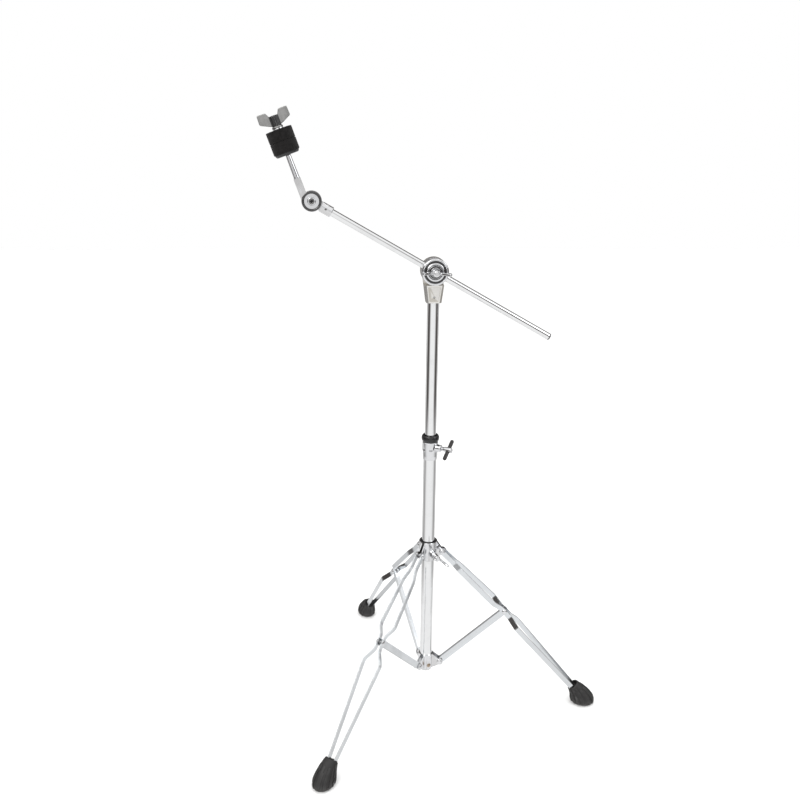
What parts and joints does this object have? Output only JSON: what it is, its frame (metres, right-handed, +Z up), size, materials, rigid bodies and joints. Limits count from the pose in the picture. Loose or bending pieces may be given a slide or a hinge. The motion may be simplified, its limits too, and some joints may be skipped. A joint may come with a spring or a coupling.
{
  "type": "cymbal boom stand",
  "caption": "Folding tripod stand with a telescoping column, a tilting boom arm and a small tilter that holds a cymbal between felts on a post.",
  "frame": {"origin": "middle of the footprint's bounding box, on the floor", "axes": "+Z up along the column; the boom lies in the XZ direction with its cymbal end towards -X; the boom tilter's wing nut faces -Y"},
  "size_m": [0.6582, 0.6114, 1.1813],
  "materials": {
    "black_bar": "black coating",
    "black_felt": "pressed wool felt",
    "black_plastic": "moulded nylon",
    "boot_rubber": "moulded rubber",
    "chrome_tube": "polished chrome plate",
    "dark_screw": "blackened steel",
    "grey_casting": "satin grey casting",
    "plated_casting": "bright plated casting",
    "plated_strip": "bright plated steel strip",
    "rivet_steel": "plain steel",
    "satin_casting": "satin nickel-toned plating",
    "white_plastic": "natural nylon"
  },
  "bodies": {
    "column": {"lower_tube": "chrome_tube", "tube_plug": "black_plastic", "hub_plate_1": "plated_casting", "hub_plate_2": "plated_casting", "hub_plate_3": "plated_casting", "hub_rivets": "rivet_steel", "hub_pins": "plated_casting", "clamp_shell": "plated_casting", "clamp_ring": "black_plastic"},
    "brace_1": {"brace_1": "plated_strip"},
    "brace_2": {"brace_2": "plated_strip"},
    "brace_3": {"brace_3": "plated_strip"},
    "leg_1": {"leg_1_strip_a": "plated_strip", "leg_1_strip_b": "plated_strip", "leg_1_pin": "plated_casting", "leg_1_boot": "boot_rubber"},
    "leg_2": {"leg_2_strip_a": "plated_strip", "leg_2_strip_b": "plated_strip", "leg_2_pin": "plated_casting", "leg_2_boot": "boot_rubber"},
    "leg_3": {"leg_3_strip_a": "plated_strip", "leg_3_strip_b": "plated_strip", "leg_3_pin": "plated_casting", "leg_3_boot": "boot_rubber"},
    "collar": {"collar_bush": "black_plastic", "collar_plate_1": "plated_casting", "collar_plate_2": "plated_casting", "collar_plate_3": "plated_casting", "collar_pins": "plated_casting", "collar_nut": "plated_casting"},
    "collar_screw": {"collar_screw": "plated_casting"},
    "clamp_screw": {"clamp_screw": "plated_casting", "clamp_bar": "black_bar"},
    "guide": {"guide_ring": "white_plastic"},
    "upper": {"upper_tube": "chrome_tube", "tilter_body": "satin_casting", "tilter_set_screw": "dark_screw"},
    "tilter_head": {"jaw_rear": "plated_casting", "jaw_front": "plated_casting", "tilter_bolt": "plated_casting", "tilter_rear_nut": "plated_casting", "tilter_washer": "plated_casting"},
    "tilter_wing_nut": {"tilter_wing_nut": "plated_casting"},
    "liner": {"boom_liner": "black_plastic"},
    "boom": {"boom_rod": "chrome_tube", "boom_end_cap": "black_plastic", "boom_socket": "plated_casting", "socket_screw": "dark_screw"},
    "cymbal_arm": {"cymbal_arm": "plated_casting", "cymbal_post": "plated_casting", "seat_cup": "black_plastic", "felt_lower": "black_felt", "felt_upper": "black_felt", "felt_washer": "plated_casting", "disc_cap": "plated_casting", "disc_nut": "plated_casting"},
    "disc_bolt": {"disc_bolt": "dark_screw"},
    "cymbal_wing_nut": {"cymbal_wing_nut": "grey_casting"}
  },
  "joints": [
    {"name": "tripod_fold", "type": "hinge", "parent": "column", "child": "brace_1", "pos_m": [0.00705, -0.0371, 0.078], "axis": [-0.1788, -0.9839, 0], "range_deg": [0, 38]},
    {"name": "leg_1_fold", "type": "hinge", "parent": "brace_1", "child": "leg_1", "pos_m": [0.13593, -0.06053, 0.207], "axis": [-0.1788, -0.9839, 0], "range_deg": [-76, 0]},
    {"name": "brace_2_fold", "type": "hinge", "parent": "column", "child": "brace_2", "pos_m": [-0.04024, -0.05403, 0.078], "axis": [-0.7627, 0.6468, 0], "range_deg": [0, 38]},
    {"name": "leg_2_fold", "type": "hinge", "parent": "brace_2", "child": "leg_2", "pos_m": [-0.12497, -0.15394, 0.207], "axis": [-0.7627, 0.6468, 0], "range_deg": [-76, 0]},
    {"name": "brace_3_fold", "type": "hinge", "parent": "column", "child": "brace_3", "pos_m": [-0.03126, -0.00461, 0.078], "axis": [0.9415, 0.3371, 0], "range_deg": [0, 38]},
    {"name": "leg_3_fold", "type": "hinge", "parent": "brace_3", "child": "leg_3", "pos_m": [-0.07542, 0.11872, 0.207], "axis": [0.9415, 0.3371, 0], "range_deg": [-76, 0]},
    {"name": "collar_ride", "type": "hinge", "parent": "leg_1", "child": "collar", "pos_m": [0.00705, -0.0371, 0.336], "axis": [-0.1788, -0.9839, 0], "range_deg": [0, 38]},
    {"name": "collar_screw_turn", "type": "hinge", "parent": "collar", "child": "collar_screw", "pos_m": [-0.01474, -0.05075, 0.3365], "axis": [0.3371, -0.9415, 0], "range_deg": [-720, 0]},
    {"name": "clamp_screw_turn", "type": "hinge", "parent": "column", "child": "clamp_screw", "pos_m": [-0.00491, -0.0431, 0.56], "axis": [0.829, -0.5592, 0], "range_deg": [-720, 0]},
    {"name": "height_slide", "type": "slide", "parent": "column", "child": "guide", "axis": [0, 0, 1], "range_m": [-0.235, 0.15]},
    {"name": "column_swivel", "type": "hinge", "parent": "guide", "child": "upper", "pos_m": [-0.02149, -0.03192, 0.7], "axis": [0, 0, 1], "continuous": true},
    {"name": "boom_tilt", "type": "hinge", "parent": "upper", "child": "tilter_head", "pos_m": [-0.02149, -0.03192, 0.902], "axis": [0, 1, 0], "range_deg": [-70, 12]},
    {"name": "tilter_wing_nut_turn", "type": "hinge", "parent": "tilter_head", "child": "tilter_wing_nut", "pos_m": [-0.02149, -0.07192, 0.902], "axis": [0, 1, 0], "range_deg": [-720, 0]},
    {"name": "boom_roll", "type": "hinge", "parent": "tilter_head", "child": "liner", "pos_m": [-0.02149, -0.04257, 0.902], "axis": [0.8712, 0, -0.4909], "continuous": true},
    {"name": "boom_slide", "type": "slide", "parent": "liner", "child": "boom", "axis": [0.8712, 0, -0.4909], "range_m": [-0.2, 0.17]},
    {"name": "cymbal_tilt", "type": "hinge", "parent": "boom", "child": "cymbal_arm", "pos_m": [-0.2399, -0.04257, 1.02507], "axis": [0, 1, 0], "range_deg": [-110, 60]},
    {"name": "disc_bolt_turn", "type": "hinge", "parent": "cymbal_arm", "child": "disc_bolt", "pos_m": [-0.2399, -0.04257, 1.02507], "axis": [0, 1, 0], "range_deg": [-720, 0]},
    {"name": "cymbal_wing_nut_turn", "type": "hinge", "parent": "cymbal_arm", "child": "cymbal_wing_nut", "pos_m": [-0.29708, -0.04257, 1.15292], "axis": [-0.342, 0, 0.9397], "range_deg": [0, 720]}
  ],
  "couplings": [
    {"joint": "brace_2_fold", "follows": "tripod_fold", "ratio": 1},
    {"joint": "brace_3_fold", "follows": "tripod_fold", "ratio": 1},
    {"joint": "leg_1_fold", "follows": "tripod_fold", "ratio": -2},
    {"joint": "leg_2_fold", "follows": "tripod_fold", "ratio": -2},
    {"joint": "leg_3_fold", "follows": "tripod_fold", "ratio": -2},
    {"joint": "collar_ride", "follows": "tripod_fold", "ratio": 1}
  ]
}
